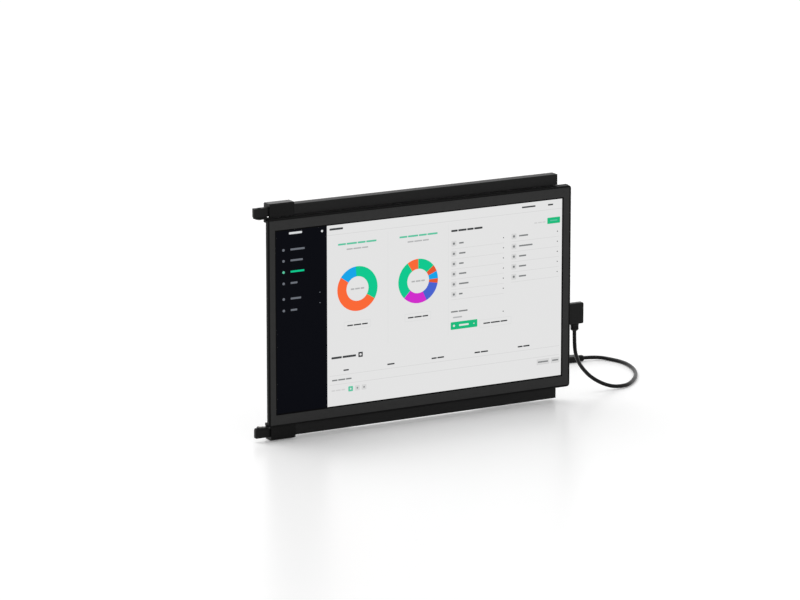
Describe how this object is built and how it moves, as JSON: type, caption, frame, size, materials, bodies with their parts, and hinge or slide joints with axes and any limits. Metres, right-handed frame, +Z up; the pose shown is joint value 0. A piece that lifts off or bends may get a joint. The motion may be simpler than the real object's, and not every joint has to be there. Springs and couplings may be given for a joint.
{
  "type": "laptop screen extender",
  "caption": "Slim second monitor that hangs on a laptop lid: two lid rails with sliders and friction hinges carry a flat display, with a short cable to its right edge.",
  "frame": {"origin": "on the plane of the laptop lid that the adhesive pads rest on, straight behind the middle of the picture", "axes": "+X along the rails, towards the cable side; +Y into the lid; +Z up"},
  "size_m": [0.4653, 0.14, 0.2272],
  "materials": {
    "rail_black": "fine satin black coating on aluminium",
    "cap_black": "moulded, fine grain",
    "collar_black": "moulded, fine grain",
    "slider_black": "moulded acetal",
    "foot_black": "moulded, fine grain",
    "chassis_black": "black satin",
    "stop_black": "soft black bumper",
    "bezel_grey": "dark grey satin",
    "screen": "lit matte display surface",
    "film_white": "white film",
    "film_silver": "silver film",
    "guide_clear": "clear acrylic",
    "lamp_white": "white lamp strip",
    "frame_white": "white moulded frame",
    "cover_black": "black, fine grain",
    "steel_dark": "black oxide",
    "steel_bright": "nickel-plated",
    "magnet_nickel": "nickel-plated",
    "pad_grey": "dark adhesive foam",
    "board_green": "solder mask",
    "chip_black": "moulded packages",
    "ribbon_amber": "amber film",
    "button_black": "moulded, fine grain",
    "cable_black": "black satin elastomer"
  },
  "bodies": {
    "rails": {"top_rail": "rail_black", "bottom_rail": "rail_black", "top_end_cap": "cap_black", "bottom_end_cap": "cap_black", "top_collar": "collar_black", "bottom_collar": "collar_black", "collar_screws": "steel_dark", "top_left_foot": "foot_black", "bottom_left_foot": "foot_black", "top_right_foot": "foot_black", "bottom_right_foot": "foot_black", "foot_magnets": "magnet_nickel", "foot_screws": "steel_dark", "adhesive_pads": "pad_grey"},
    "carriage": {"top_slider": "slider_black", "bottom_slider": "slider_black", "hinge_washers": "steel_bright"},
    "monitor": {"top_hinge_ear": "steel_dark", "bottom_hinge_ear": "steel_dark", "ear_screws": "steel_dark", "hinge_pins": "steel_bright", "spring_discs": "steel_bright", "hinge_nuts": "steel_bright", "chassis": "chassis_black", "top_end_stop": "stop_black", "bottom_end_stop": "stop_black", "front_bezel": "bezel_grey", "display_cell": "screen", "diffuser_sheet": "film_white", "light_guide": "guide_clear", "lamp_strip": "lamp_white", "reflector_sheet": "film_silver", "panel_frame": "frame_white", "back_cover": "cover_black", "cover_screws": "steel_dark", "driver_board": "board_green", "board_screws": "steel_bright", "board_chips": "chip_black", "panel_ribbon": "ribbon_amber", "power_data_socket": "steel_bright", "button_board": "board_green", "key_switches": "chip_black"},
    "power_key": {"power_button": "button_black"},
    "brightness_key": {"brightness_button": "button_black"},
    "cable": {"plug_body": "cable_black", "plug_shell": "steel_bright", "plug_boot": "cable_black", "cord": "cable_black", "far_plug_boot": "cable_black", "far_plug_body": "cable_black", "far_plug_shell": "steel_bright"}
  },
  "joints": [
    {"name": "rail_slide", "type": "slide", "parent": "rails", "child": "carriage", "axis": [1, 0, 0], "range_m": [0, 0.2795]},
    {"name": "monitor_hinge", "type": "hinge", "parent": "carriage", "child": "monitor", "pos_m": [-0.169, -0.0092, 0], "axis": [0, 0, -1], "range_deg": [0, 270]},
    {"name": "power_press", "type": "slide", "parent": "monitor", "child": "power_key", "axis": [-1, 0, 0], "range_m": [0, 0.0005], "stiffness_N_per_m": 900, "springref_m": -0.0003},
    {"name": "brightness_press", "type": "slide", "parent": "monitor", "child": "brightness_key", "axis": [-1, 0, 0], "range_m": [0, 0.0005], "stiffness_N_per_m": 900, "springref_m": -0.0003},
    {"name": "cable_unplug", "type": "slide", "parent": "monitor", "child": "cable", "axis": [1, 0, 0], "range_m": [0, 0.012]}
  ]
}
